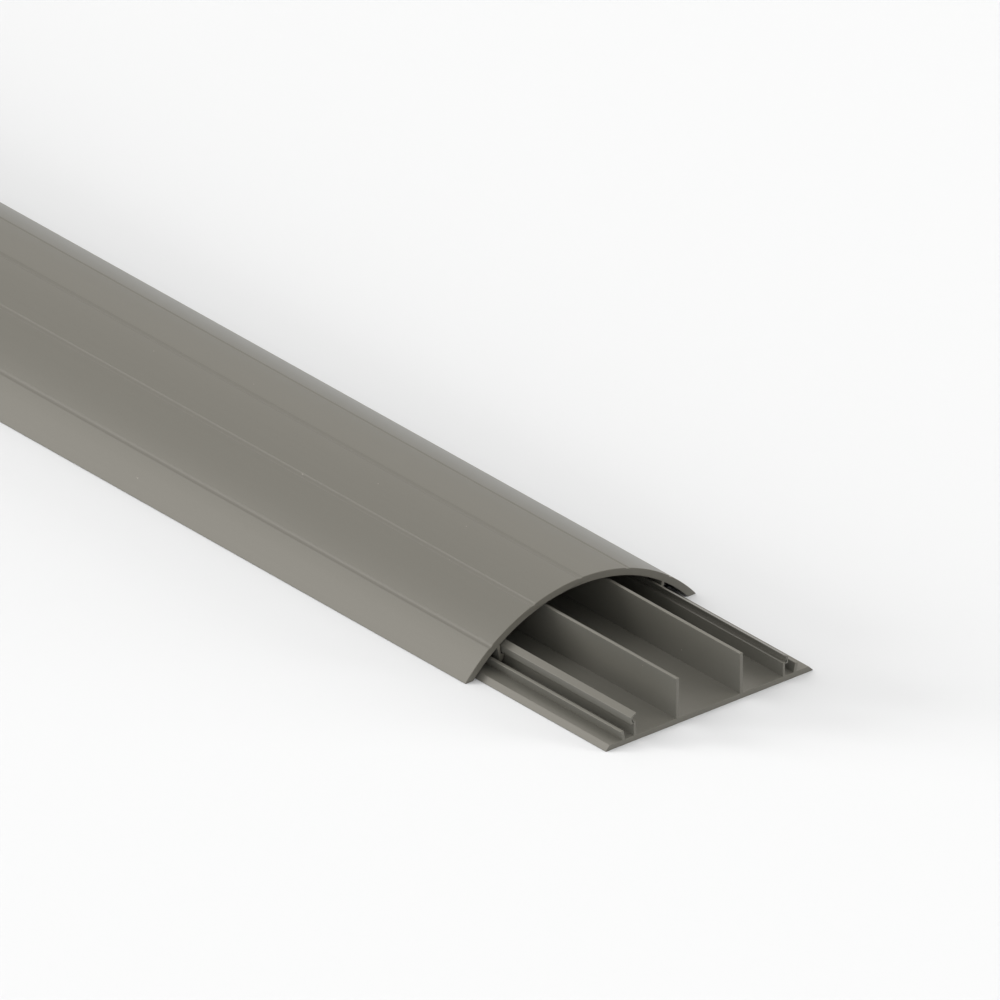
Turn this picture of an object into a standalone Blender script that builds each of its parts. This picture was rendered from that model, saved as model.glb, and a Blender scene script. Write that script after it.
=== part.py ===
"""Floor cord cover: a flat base strip with clip rails, and an arched cover that clips onto it.

Both pieces are extrusions of rigid PVC. X runs along the strip, +X towards the end where the
base shows from under the cover. Y runs across it and +Z is up. The origin is the middle of the
base's underside, on the floor. Each section is symmetric about the XZ plane, so it is drawn for
y >= 0 and mirrored.
"""
import math

import bmesh
import bpy
from mathutils import Vector

MM = 0.001

# Lengths
BASE_LENGTH = 1000 * MM
COVER_LENGTH = 1000 * MM
COVER_DRAWN_BACK = 49.8 * MM      # from the base's +X end to the cover's

# Cover: an arch of constant wall, standing on two flat feet
COVER_WIDTH = 75.4 * MM           # before its feet are rounded, which leaves 75.0 mm
COVER_HEIGHT = 17.3 * MM
COVER_WALL = 2.0 * MM
FOOT_OUTER_RADIUS = 0.15 * MM
FOOT_INNER_RADIUS = 0.8 * MM

# Round-bottomed grooves along the cover's outside
GROOVES_EACH_SIDE = 2             # beside the one on the ridge
GROOVE_PITCH = math.radians(18)
GROOVE_WIDTH = 1.5 * MM
GROOVE_DEPTH = 0.2 * MM
GROOVE_EDGE_RADIUS = 0.15 * MM
GROOVE_STEPS = 8                  # across a groove's bottom, an even number

# Base plate
PLATE_THICKNESS = 1.5 * MM
PLATE_EDGE_LAND = 0.2 * MM        # upright part of the edge, under its 45 degree slope
PLATE_EDGE_GAP = 1.35 * MM        # from the plate's edge to the cover's foot

# Outer rail: a low fin that leans outwards
OUTER_RAIL_INSET = 5.4 * MM       # from the plate's edge
OUTER_RAIL_WALL = 0.9 * MM
OUTER_RAIL_RISE = 2.5 * MM
OUTER_RAIL_LEAN = math.radians(13)

# Clip rail: a web with an outward step, an upper web and an inward lip
CLIP_CHANNEL = 2.75 * MM          # between the outer rail's foot and the clip rail's
CLIP_RAIL_WALL = 0.7 * MM
CLIP_RAIL_STEP = 1.0 * MM
CLIP_RAIL_STEP_WALL = 0.6 * MM
UPPER_WEB_RISE = 1.9 * MM         # from the step's underside to the lip's outer corner
LIP_REACH = 1.8 * MM
LIP_WALL = 0.4 * MM
LIP_CLEARANCE = 1.1 * MM          # under the cover
BEND_RADIUS = 0.3 * MM            # of the clip rail's bends

# Dividers: two upright fins that make three channels
CENTRE_CHANNEL = 19.75 * MM
DIVIDER_WALL = 1.0 * MM
DIVIDER_CLEARANCE = 1.3 * MM      # under the cover

# Cover's clip legs, each with a barb that hooks under the clip rail's step
LEG_WALL = 0.7 * MM               # at the barb, from where it widens to its root
LEG_INSIDE_LEAN = math.radians(9.6)
LEG_OUTSIDE_LEAN = math.radians(18)
LEG_TIP = 0.4 * MM
CLIP_CLEARANCE = 0.3 * MM         # between leg and rail
LEG_FLOOR_CLEARANCE = 0.5 * MM    # between leg and plate

# Other corners of both sections. Outward ones are rounded and inward ones are sharp.
TIP_RADIUS = 0.2 * MM
SHARP = 0.0
FILLET_STEPS = 3
ARC_STEP = math.radians(1.5)
LARGEST_FILLET_SHARE = 0.45       # of the shorter side at its corner

# Stone grey, linear
GREY = (0.245, 0.238, 0.212, 1.0)
ROUGHNESS = 0.5
SHARP_ANGLE = math.radians(30)

# The cover's two arcs share one centre, below the floor
outer_radius = ((COVER_WIDTH / 2) ** 2 + COVER_HEIGHT ** 2) / (2 * COVER_HEIGHT)
inner_radius = outer_radius - COVER_WALL
arch_centre = COVER_HEIGHT - outer_radius

groove_radius = ((GROOVE_WIDTH / 2) ** 2 + GROOVE_DEPTH ** 2) / (2 * GROOVE_DEPTH)

# Places across the base, from the centre line
plate_edge = math.sqrt(inner_radius ** 2 - arch_centre ** 2) - PLATE_EDGE_GAP
outer_rail_outside = plate_edge - OUTER_RAIL_INSET
outer_rail_inside = outer_rail_outside - OUTER_RAIL_WALL / math.cos(OUTER_RAIL_LEAN)
web_outside = outer_rail_inside - CLIP_CHANNEL
web_inside = web_outside - CLIP_RAIL_WALL
upper_web_outside = web_outside + CLIP_RAIL_STEP
upper_web_inside = upper_web_outside - CLIP_RAIL_WALL
lip_tip = upper_web_outside - LIP_REACH
divider_inside = CENTRE_CHANNEL / 2
divider_outside = divider_inside + DIVIDER_WALL


def underside(y):
    """Height of the cover's underside over the point y."""
    return arch_centre + math.sqrt(inner_radius ** 2 - y ** 2)


# Heights of the clip rail's step and of the barb below it
step_bottom = underside(upper_web_outside) - LIP_CLEARANCE - UPPER_WEB_RISE
barb_top = step_bottom - CLIP_CLEARANCE


def on_arch(radius, angle, rounding=SHARP):
    """A corner on an arc about the arch's centre, at an angle from the upright."""
    return radius * math.sin(angle), arch_centre + radius * math.cos(angle), rounding


def arch_stretch(radius, start, end, end_rounding):
    """Corners along an arc of the arch. Both of its ends are rounded by end_rounding."""
    steps = max(1, math.ceil(abs(end - start) / ARC_STEP))
    stretch = [on_arch(radius, start + (end - start) * step / steps) for step in range(steps + 1)]
    for end_index in (0, -1):
        y, z, _ = stretch[end_index]
        stretch[end_index] = (y, z, end_rounding)
    return stretch


def arch_angle(y, z):
    """Angle from the upright at which the arch's centre sees the point (y, z)."""
    return math.atan2(y, z - arch_centre)


def leg_root(y, lean):
    """Where a leg's leaning face, through y at the barb's top, meets the cover's underside."""
    slope = math.tan(lean)
    height = barb_top - arch_centre
    square = 1 + slope ** 2
    linear = slope * y + height
    constant = y ** 2 + height ** 2 - inner_radius ** 2
    rise = (math.sqrt(linear ** 2 - square * constant) - linear) / square
    return y + slope * rise, barb_top + rise


def groove_bottom(middle, steps):
    """Corners of a groove's round bottom between its edges, at the angle middle from the upright."""
    corners = []
    for step in steps:
        across = GROOVE_WIDTH * (step / GROOVE_STEPS - 0.5)
        depth = GROOVE_DEPTH - groove_radius + math.sqrt(groove_radius ** 2 - across ** 2)
        corners.append(on_arch(outer_radius - depth, middle + across / outer_radius))
    return corners


def cover_outside():
    """Corners from the middle of the ridge groove, down the outside, to a foot."""
    half_groove = GROOVE_WIDTH / 2 / outer_radius
    corners = groove_bottom(0, range(GROOVE_STEPS // 2, GROOVE_STEPS))
    for groove in range(GROOVES_EACH_SIDE):
        last = groove * GROOVE_PITCH + half_groove
        middle = (groove + 1) * GROOVE_PITCH
        corners += arch_stretch(outer_radius, last, middle - half_groove, GROOVE_EDGE_RADIUS)
        corners += groove_bottom(middle, range(1, GROOVE_STEPS))
    last = GROOVES_EACH_SIDE * GROOVE_PITCH + half_groove
    foot = arch_angle(COVER_WIDTH / 2, 0)
    stretch = arch_stretch(outer_radius, last, foot, GROOVE_EDGE_RADIUS)
    corners += stretch[:-1]
    corners.append(on_arch(outer_radius, foot, FOOT_OUTER_RADIUS))
    return corners


def clip_leg():
    """Corners of a leg and its barb, from its outer root round its tip to its inner root."""
    inside = upper_web_outside + CLIP_CLEARANCE
    outside = inside + LEG_WALL
    nose = web_outside + CLIP_CLEARANCE
    tip = PLATE_THICKNESS + LEG_FLOOR_CLEARANCE
    ramp_top = (barb_top + tip) / 2
    return [
        (*leg_root(outside, LEG_OUTSIDE_LEAN), SHARP),
        (outside, barb_top, SHARP),
        (outside, tip, TIP_RADIUS),
        (outside - LEG_TIP, tip, TIP_RADIUS),
        (nose, ramp_top, TIP_RADIUS),
        (nose, barb_top, TIP_RADIUS),
        (inside, barb_top, SHARP),
        (*leg_root(inside, LEG_INSIDE_LEAN), SHARP),
    ]


def cover_inside():
    """Corners from a foot up the inside, round the clip leg and on to the crown."""
    leg = clip_leg()
    foot = math.acos(-arch_centre / inner_radius)
    outer_root = arch_angle(*leg[0][:2])
    inner_root = arch_angle(*leg[-1][:2])
    to_leg = arch_stretch(inner_radius, foot, outer_root, SHARP)
    to_crown = arch_stretch(inner_radius, inner_root, 0, SHARP)
    foot_corner = on_arch(inner_radius, foot, FOOT_INNER_RADIUS)
    return [foot_corner, *to_leg[1:-1], *leg, *to_crown[1:]]


def outer_rail():
    """Corners of the outer rail, from its outer foot to its inner one."""
    lean_out = OUTER_RAIL_RISE * math.tan(OUTER_RAIL_LEAN)
    top = PLATE_THICKNESS + OUTER_RAIL_RISE
    top_fall = OUTER_RAIL_WALL * math.sin(OUTER_RAIL_LEAN)
    return [
        (outer_rail_outside, PLATE_THICKNESS, SHARP),
        (outer_rail_outside + lean_out, top - top_fall / 2, TIP_RADIUS),
        (outer_rail_inside + lean_out, top + top_fall / 2, TIP_RADIUS),
        (outer_rail_inside, PLATE_THICKNESS, SHARP),
    ]


def clip_rail():
    """Corners of the clip rail, from its outer foot, round its lip, to its inner foot."""
    step_top = step_bottom + CLIP_RAIL_STEP_WALL
    lip_outer_top = underside(upper_web_outside) - LIP_CLEARANCE
    lip_tip_top = underside(lip_tip) - LIP_CLEARANCE
    lip_root_bottom = underside(upper_web_inside) - LIP_CLEARANCE - LIP_WALL
    return [
        (web_outside, PLATE_THICKNESS, SHARP),
        (web_outside, step_bottom, SHARP),
        (upper_web_outside, step_bottom, TIP_RADIUS),
        (upper_web_outside, lip_outer_top, BEND_RADIUS),
        (lip_tip, lip_tip_top, TIP_RADIUS),
        (lip_tip, lip_tip_top - LIP_WALL, TIP_RADIUS),
        (upper_web_inside, lip_root_bottom, BEND_RADIUS),
        (upper_web_inside, step_top, SHARP),
        (web_inside, step_top, BEND_RADIUS),
        (web_inside, PLATE_THICKNESS, SHARP),
    ]


def divider():
    """Corners of a divider, from its outer foot to its inner one."""
    top = underside(divider_outside) - DIVIDER_CLEARANCE
    return [
        (divider_outside, PLATE_THICKNESS, SHARP),
        (divider_outside, top, TIP_RADIUS),
        (divider_inside, top, TIP_RADIUS),
        (divider_inside, PLATE_THICKNESS, SHARP),
    ]


def base_section():
    """Corners of half the base, from its lower edge over the rails to a divider."""
    slope_top = plate_edge - (PLATE_THICKNESS - PLATE_EDGE_LAND)
    edge = [
        (plate_edge, 0, TIP_RADIUS),
        (plate_edge, PLATE_EDGE_LAND, SHARP),
        (slope_top, PLATE_THICKNESS, TIP_RADIUS),
    ]
    return edge + outer_rail() + clip_rail() + divider()


def cover_section():
    """Corners of half the cover, from the ridge over a foot to the crown of its underside."""
    return cover_outside() + cover_inside()


def mirrored(half):
    """The whole closed section, from its half at y >= 0."""
    return half + [(-y, z, rounding) for y, z, rounding in reversed(half) if y > 0]


def fillet(corner, before, after, radius):
    """Points of an arc that rounds a corner between two straight sides."""
    to_before = before - corner
    to_after = after - corner
    half_angle = to_before.angle(to_after) / 2
    longest = LARGEST_FILLET_SHARE * min(to_before.length, to_after.length)
    reach = min(radius / math.tan(half_angle), longest)
    start = to_before.normalized() * reach
    end = to_after.normalized() * reach
    centre = (start + end) / (2 * math.cos(half_angle) ** 2)
    sweep = math.pi - 2 * half_angle
    points = []
    for step in range(FILLET_STEPS + 1):
        share = step / FILLET_STEPS
        from_start = math.sin((1 - share) * sweep) / math.sin(sweep)
        from_end = math.sin(share * sweep) / math.sin(sweep)
        points.append(corner + centre + (start - centre) * from_start + (end - centre) * from_end)
    return points


def rounded(corners):
    """Points of a closed outline whose corners are rounded, each by its own radius."""
    places = [Vector((y, z)) for y, z, _ in corners]
    points = []
    for index, (_, _, radius) in enumerate(corners):
        if radius == SHARP:
            points.append(places[index])
        else:
            after = places[(index + 1) % len(corners)]
            points += fillet(places[index], places[index - 1], after, radius)
    return points


def pvc_material(name):
    """Satin rigid PVC, coloured through."""
    material = bpy.data.materials.new(name)
    material.use_nodes = True
    shader = material.node_tree.nodes["Principled BSDF"]
    shader.inputs["Base Color"].default_value = GREY
    shader.inputs["Roughness"].default_value = ROUGHNESS
    shader.inputs["Metallic"].default_value = 0.0
    material.diffuse_color = GREY
    return material


def extrusion(name, half_section, near_end, length):
    """A named strip of one section. Its origin is on the floor at its +X end, near_end."""
    mesh = bpy.data.meshes.new(name)
    body = bmesh.new()
    outline = rounded(mirrored(half_section))
    near = [body.verts.new((0, point.x, point.y)) for point in outline]
    cap = body.faces.new(near)
    grown = bmesh.ops.extrude_face_region(body, geom=[cap], use_keep_orig=True)
    far = [item for item in grown["geom"] if isinstance(item, bmesh.types.BMVert)]
    bmesh.ops.translate(body, verts=far, vec=(-length, 0, 0))
    bmesh.ops.recalc_face_normals(body, faces=body.faces)
    body.to_mesh(mesh)
    body.free()
    mesh.shade_smooth()
    mesh.set_sharp_from_angle(angle=SHARP_ANGLE)
    mesh.materials.append(pvc_material(name + "_pvc"))
    strip = bpy.data.objects.new(name, mesh)
    strip.location = (near_end, 0, 0)
    bpy.context.collection.objects.link(strip)
    return strip


def main():
    """Lay the base on the floor and clip the cover over it, drawn back from the base's end."""
    for old in list(bpy.data.objects):
        bpy.data.objects.remove(old)
    base_end = BASE_LENGTH / 2
    extrusion("base", base_section(), base_end, BASE_LENGTH)
    cover_end = base_end - COVER_DRAWN_BACK
    extrusion("cover", cover_section(), cover_end, COVER_LENGTH)


main()
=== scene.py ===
import math

import bmesh
import bpy
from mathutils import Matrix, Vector


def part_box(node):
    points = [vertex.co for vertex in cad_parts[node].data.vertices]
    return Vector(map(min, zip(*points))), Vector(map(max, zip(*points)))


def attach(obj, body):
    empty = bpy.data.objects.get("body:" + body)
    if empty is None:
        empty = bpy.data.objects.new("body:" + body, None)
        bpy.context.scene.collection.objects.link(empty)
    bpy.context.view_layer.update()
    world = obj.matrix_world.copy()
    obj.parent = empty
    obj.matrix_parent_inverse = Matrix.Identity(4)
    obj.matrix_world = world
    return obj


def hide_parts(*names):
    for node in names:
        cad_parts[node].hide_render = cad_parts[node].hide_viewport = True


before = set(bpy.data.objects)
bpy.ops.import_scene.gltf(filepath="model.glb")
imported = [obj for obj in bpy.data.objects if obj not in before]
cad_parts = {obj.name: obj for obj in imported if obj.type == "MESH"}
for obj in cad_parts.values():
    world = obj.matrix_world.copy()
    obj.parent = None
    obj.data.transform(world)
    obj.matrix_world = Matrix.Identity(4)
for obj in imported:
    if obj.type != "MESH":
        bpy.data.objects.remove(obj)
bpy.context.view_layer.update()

# The rest is in metres, in the frame's own axes: X along the strip, Y across it, +Z up
MM = 0.001

# Rounding of the sawn ends
COVER_ARRIS = 0.14 * MM
BASE_ARRIS = 0.12 * MM
ARRIS_STEPS = 4
SAME_POINT = 0.001 * MM
LEAST_MITRE_COSINE = 0.5               # no corner moves in by more than twice the inset
SHARPEST_ROUNDED = math.radians(40)    # a turn between two faces of one rounding
SKIN_SLOT = 0
CUT_SLOT = 1

# The photograph's view. An azimuth is in degrees from +X towards +Y, and an elevation in degrees.
VIEW_AZIMUTH = -39.89
VIEW_ELEVATION = 27.79
VIEW_TARGET = Vector((0.3802, 0.0322, 0.0))
VIEW_WIDTH = 251.2 * MM
LENS = 1400.0                          # millimetres, as the sensor's width is
SENSOR = 36.0
CLIP_REACH = 10                        # times nearer and further than the target

# Floor, just cool enough to be neutral in the warm light
FLOOR_SIZE = 60.0
FLOOR_COLOUR = (0.668, 0.704, 0.768, 1)
FLOOR_ROUGHNESS = 0.9
FAR_FLOOR_COLOUR = (1, 1, 1, 1)
FAR_FLOOR_BRIGHTNESS = 0.97

# Studio light. Each soft light has its name, azimuth, elevation, width in degrees and strength.
LIGHT_COLOUR = (1, 0.95, 0.87)
SKY_STRENGTH = 0.71
LIGHTS = (
    ("key", 225, 35, 40, 1.0),
    ("far_end", 180, 35, 40, 0.25),
    ("back", 135, 35, 40, 0.2),
    ("near_end", 45, 35, 40, 0.7),
    ("front", 315, 12, 40, 0.4),
)
# A low light that the gloss doesn't mirror, so that the grooves don't gleam
LOW_FILL = ("low_fill", 225, 6, 20, 1.0)
# Low lights for the floor alone, in which the strip's long soft shadows darken it close by
FLOOR_LIGHTS = (
    ("floor_graze_front", 225, 6, 20, 4.6),
    ("floor_graze_back", 45, 6, 20, 3.8),
)

# Rigid PVC, coloured through. A pattern's period is its size along X, Y and Z, and its shades are
# the least and the most that it multiplies the colour by.
PVC_IOR = 1.53
GRAIN_PERIOD = (0.5 * MM, 0.5 * MM, 0.5 * MM)

# Its skin, as it leaves the die
GREY = (0.127, 0.128, 0.118)
CLOUD_PERIOD = (200 * MM, 30 * MM, 30 * MM)
CLOUD_SHADES = (0.95, 1.05)
DIE_LINE_PERIOD = (300 * MM, 1.2 * MM, 1.2 * MM)
DIE_LINE_SHADES = (0.98, 1.02)
DIE_LINE_RELIEF = (0.8, 1.2)           # times the grain's relief
SKIN_GRAIN_SHADES = (0.96, 1.04)
SKIN_ROUGHNESS = (0.32, 0.38)
SKIN_RELIEF = 0.004 * MM
DUST = (0.32, 0.31, 0.29, 1)
DUST_SPACING = 7.5 * MM
DUST_RADIUS = 0.15 * MM

# Its sawn ends
SAWN_GREY = (0.134, 0.132, 0.117)
SAW_MARK_PERIOD = 0.4 * MM
SAW_MARK_WAVER = 1.5
SAW_MARK_SHADES = (0.97, 1.03)
CUT_GRAIN_SHADES = (0.93, 1.07)
CUT_ROUGHNESS = (0.45, 0.6)
CUT_RELIEF = 0.01 * MM
WAVE_PERIOD = math.pi / 10             # of the wave texture at scale 1


def end_section(node):
    """The node's flat +X end: its outline's points (y, z) in order, and its faces as their numbers."""
    section = bmesh.new()
    section.from_mesh(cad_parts[node].data)
    bmesh.ops.remove_doubles(section, verts=section.verts, dist=SAME_POINT)
    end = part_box(node)[1].x
    cap = [face for face in section.faces if all(end - v.co.x < SAME_POINT for v in face.verts)]
    in_cap = set(cap)
    follows = {}
    for face in cap:
        for loop in face.loops:
            if any(other not in in_cap for other in loop.edge.link_faces):
                follows[loop.vert] = loop.link_loop_next.vert
    ordered = [next(iter(follows))]
    while len(ordered) < len(follows):
        ordered.append(follows[ordered[-1]])
    number = {vert: index for index, vert in enumerate(ordered)}
    outline = [Vector((vert.co.y, vert.co.z)) for vert in ordered]
    faces = [[number[vert] for vert in face.verts] for face in cap]
    section.free()
    return outline, faces


def inset(outline, distance):
    """The outline moved inwards. It runs anticlockwise seen from +X."""
    moved = []
    for index, point in enumerate(outline):
        before = (point - outline[index - 1]).normalized()
        after = (outline[(index + 1) % len(outline)] - point).normalized()
        normal = Vector((-before.y - after.y, before.x + after.x)).normalized()
        cosine = normal.dot(Vector((-before.y, before.x)))
        moved.append(point + normal * distance / max(cosine, LEAST_MITRE_COSINE))
    return moved


def arris_rings(low, high, arris):
    """Each ring's place along X and its inset, from a strip's far end to its near one."""
    near = []
    for step in range(ARRIS_STEPS + 1):
        angle = math.pi / 2 * step / ARRIS_STEPS
        near.append((high - arris * (1 - math.sin(angle)), arris * (1 - math.cos(angle))))
    far = [(low + high - x, depth) for x, depth in reversed(near)]
    return far + near


def sawn_mesh(name, node, arris):
    """The node's extrusion, with rounded arrises on both of its sawn ends."""
    low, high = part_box(node)
    outline, faces = end_section(node)
    body = bmesh.new()
    rings = []
    for x, depth in arris_rings(low.x, high.x, arris):
        rings.append([body.verts.new((x, point.x, point.y)) for point in inset(outline, depth)])
    for index, (far, near) in enumerate(zip(rings, rings[1:])):
        slot = SKIN_SLOT if index == ARRIS_STEPS else CUT_SLOT
        for corner in range(len(outline)):
            onward = (corner + 1) % len(outline)
            side = body.faces.new((far[corner], far[onward], near[onward], near[corner]))
            side.material_index = slot
    for face in faces:
        body.faces.new([rings[-1][corner] for corner in face]).material_index = CUT_SLOT
        body.faces.new([rings[0][corner] for corner in reversed(face)]).material_index = CUT_SLOT
    mesh = bpy.data.meshes.new(name)
    body.to_mesh(mesh)
    body.free()
    mesh.shade_smooth()
    mesh.set_sharp_from_angle(angle=SHARPEST_ROUNDED)
    return mesh


def sawn_strip(name, node, arris, skin, cut):
    """The node's strip, with the skin along its sides and the cut on its ends."""
    mesh = sawn_mesh(name, node, arris)
    mesh.materials.append(skin)
    mesh.materials.append(cut)
    strip = bpy.data.objects.new(name, mesh)
    bpy.context.scene.collection.objects.link(strip)
    strip.modifiers.new("flat_faces_stay_flat", "WEIGHTED_NORMAL").keep_sharp = True
    return strip


def add(tree, kind, inputs, **settings):
    """A new node. Each input is a value, or a socket that is linked to it."""
    made = tree.nodes.new(kind)
    for setting, value in settings.items():
        setattr(made, setting, value)
    for socket, value in inputs.items():
        if isinstance(value, bpy.types.NodeSocket):
            tree.links.new(value, made.inputs[socket])
        else:
            made.inputs[socket].default_value = value
    return made


def noise(tree, place, period, detail):
    """Noise from 0 to 1, of a period in metres along each axis."""
    scale = [1 / length for length in period]
    stretched = add(tree, "ShaderNodeMapping", {"Vector": place, "Scale": scale}).outputs[0]
    made = add(tree, "ShaderNodeTexNoise", {"Vector": stretched, "Scale": 1, "Detail": detail})
    return made.outputs["Fac"]


def spread(tree, value, ends):
    """Values from 0 to 1, spread between two ends."""
    low, high = ends
    return add(tree, "ShaderNodeMapRange", {"Value": value, "To Min": low, "To Max": high}).outputs[0]


def product(tree, first, second):
    """One value times another."""
    return add(tree, "ShaderNodeMath", {0: first, 1: second}, operation="MULTIPLY").outputs[0]


def tinted(tree, colour, shade):
    """The colour, made lighter or darker by shade."""
    return add(tree, "ShaderNodeVectorMath", {0: colour, "Scale": shade}, operation="SCALE").outputs[0]


def dusted(tree, place, colour):
    """The colour, with a speck of dust here and there."""
    dust = add(tree, "ShaderNodeTexVoronoi", {"Vector": place, "Scale": 1 / DUST_SPACING})
    distances = {0: dust.outputs["Distance"], 1: DUST_RADIUS / DUST_SPACING}
    on_speck = add(tree, "ShaderNodeMath", distances, operation="LESS_THAN").outputs[0]
    colours = {"Factor": on_speck, "A": colour, "B": DUST}
    return add(tree, "ShaderNodeMix", colours, data_type="RGBA").outputs["Result"]


def pvc(name):
    """A bare material, its nodes, its shader and the place on the strip, for rigid PVC."""
    material = bpy.data.materials.new(name)
    material.use_nodes = True
    tree = material.node_tree
    shader = tree.nodes["Principled BSDF"]
    shader.inputs["IOR"].default_value = PVC_IOR
    place = add(tree, "ShaderNodeTexCoord", {}).outputs["Object"]
    return material, tree, shader, place


def finish(tree, shader, colour, roughness, height, relief):
    """Link a surface's colour, its roughness and its bumps, whose relief is in metres."""
    bumps = add(tree, "ShaderNodeBump", {"Height": height, "Distance": relief})
    tree.links.new(colour, shader.inputs["Base Color"])
    tree.links.new(roughness, shader.inputs["Roughness"])
    tree.links.new(bumps.outputs["Normal"], shader.inputs["Normal"])


def skin_material():
    """PVC as it leaves the die: satin, with faint clouds, die lines, grain and a few specks of dust."""
    material, tree, shader, place = pvc("pvc_skin")
    clouds = noise(tree, place, CLOUD_PERIOD, detail=3)
    die_lines = noise(tree, place, DIE_LINE_PERIOD, detail=1)
    grain = noise(tree, place, GRAIN_PERIOD, detail=2)
    shade = product(tree, spread(tree, clouds, CLOUD_SHADES), spread(tree, die_lines, DIE_LINE_SHADES))
    shade = product(tree, shade, spread(tree, grain, SKIN_GRAIN_SHADES))
    colour = dusted(tree, place, tinted(tree, GREY, shade))
    height = product(tree, grain, spread(tree, die_lines, DIE_LINE_RELIEF))
    finish(tree, shader, colour, spread(tree, clouds, SKIN_ROUGHNESS), height, SKIN_RELIEF)
    return material


def cut_material():
    """PVC as the saw leaves it: duller, with fine marks across the cut."""
    material, tree, shader, place = pvc("pvc_cut")
    wave = {"Vector": place, "Scale": WAVE_PERIOD / SAW_MARK_PERIOD, "Distortion": SAW_MARK_WAVER,
            "Detail": 2, "Detail Scale": 0.2}
    marks = add(tree, "ShaderNodeTexWave", wave, bands_direction="Z").outputs["Fac"]
    grain = noise(tree, place, GRAIN_PERIOD, detail=2)
    shade = product(tree, spread(tree, marks, SAW_MARK_SHADES), spread(tree, grain, CUT_GRAIN_SHADES))
    colour = tinted(tree, SAWN_GREY, shade)
    finish(tree, shader, colour, spread(tree, grain, CUT_ROUGHNESS), marks, CUT_RELIEF)
    return material


def floor_material():
    """Plain pale paint without a gleam."""
    material = bpy.data.materials.new("floor_paint")
    material.use_nodes = True
    shader = material.node_tree.nodes["Principled BSDF"]
    shader.inputs["Base Color"].default_value = FLOOR_COLOUR
    shader.inputs["Roughness"].default_value = FLOOR_ROUGHNESS
    shader.inputs["Specular IOR Level"].default_value = 0.0
    return material


def make_floor():
    """A wide flat floor under the strip."""
    mesh = bpy.data.meshes.new("floor")
    half = FLOOR_SIZE / 2
    corners = [(-half, -half, 0), (half, -half, 0), (half, half, 0), (-half, half, 0)]
    mesh.from_pydata(corners, [], [(0, 1, 2, 3)])
    mesh.materials.append(floor_material())
    floor = bpy.data.objects.new("floor", mesh)
    bpy.context.scene.collection.objects.link(floor)
    return floor


def direction(azimuth, elevation):
    """The way that an azimuth and an elevation point, as a vector of length 1."""
    turn = math.radians(azimuth)
    rise = math.radians(elevation)
    return Vector((math.cos(turn) * math.cos(rise), math.sin(turn) * math.cos(rise), math.sin(rise)))


def face_from(thing, way):
    """Turn a lamp or a camera so that it looks back from this way."""
    thing.rotation_mode = "QUATERNION"
    thing.rotation_quaternion = way.to_track_quat("Z", "Y")


def soft_sun(name, azimuth, elevation, width, strength):
    """A light from far off."""
    light = bpy.data.lights.new(name, "SUN")
    light.color = LIGHT_COLOUR
    light.energy = strength
    light.angle = math.radians(width)
    lamp = bpy.data.objects.new(name, light)
    face_from(lamp, direction(azimuth, elevation))
    bpy.context.scene.collection.objects.link(lamp)
    return lamp


def light_studio(floor):
    """The lights of the whole scene and those of the floor alone."""
    for light in LIGHTS:
        soft_sun(*light)
    soft_sun(*LOW_FILL).visible_glossy = False
    floor_alone = bpy.data.collections.new("floor_alone")
    floor_alone.objects.link(floor)
    for light in FLOOR_LIGHTS:
        soft_sun(*light).light_linking.receiver_collection = floor_alone


def make_sky():
    """An even surround. The camera sees it as pale as the floor, so that the floor has no far edge."""
    world = bpy.data.worlds.new("studio")
    world.use_nodes = True
    tree = world.node_tree
    sky = tree.nodes["Background"]
    sky.inputs["Color"].default_value = (*LIGHT_COLOUR, 1)
    sky.inputs["Strength"].default_value = SKY_STRENGTH
    backdrop = {"Color": FAR_FLOOR_COLOUR, "Strength": FAR_FLOOR_BRIGHTNESS}
    seen = add(tree, "ShaderNodeBackground", backdrop)
    camera_looks = add(tree, "ShaderNodeLightPath", {}).outputs["Is Camera Ray"]
    both = add(tree, "ShaderNodeMixShader", {0: camera_looks, 1: sky.outputs[0], 2: seen.outputs[0]})
    tree.links.new(both.outputs[0], tree.nodes["World Output"].inputs["Surface"])
    bpy.context.scene.world = world


def make_camera():
    """The photograph's view, from so far off that the strip's edges look parallel."""
    data = bpy.data.cameras.new("camera")
    data.lens = LENS
    data.sensor_width = SENSOR
    distance = VIEW_WIDTH * LENS / SENSOR
    data.clip_start = distance / CLIP_REACH
    data.clip_end = distance * CLIP_REACH
    camera = bpy.data.objects.new("camera", data)
    way = direction(VIEW_AZIMUTH, VIEW_ELEVATION)
    camera.location = VIEW_TARGET + way * distance
    face_from(camera, way)
    bpy.context.scene.collection.objects.link(camera)
    bpy.context.scene.camera = camera


skin = skin_material()
cut = cut_material()
for name, node, arris in (("base_strip", "base", BASE_ARRIS), ("cover_strip", "cover", COVER_ARRIS)):
    strip = sawn_strip(name, node, arris, skin, cut)
    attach(strip, node)
    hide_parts(node)
light_studio(make_floor())
make_sky()
make_camera()
bpy.context.scene.view_settings.view_transform = "Standard"
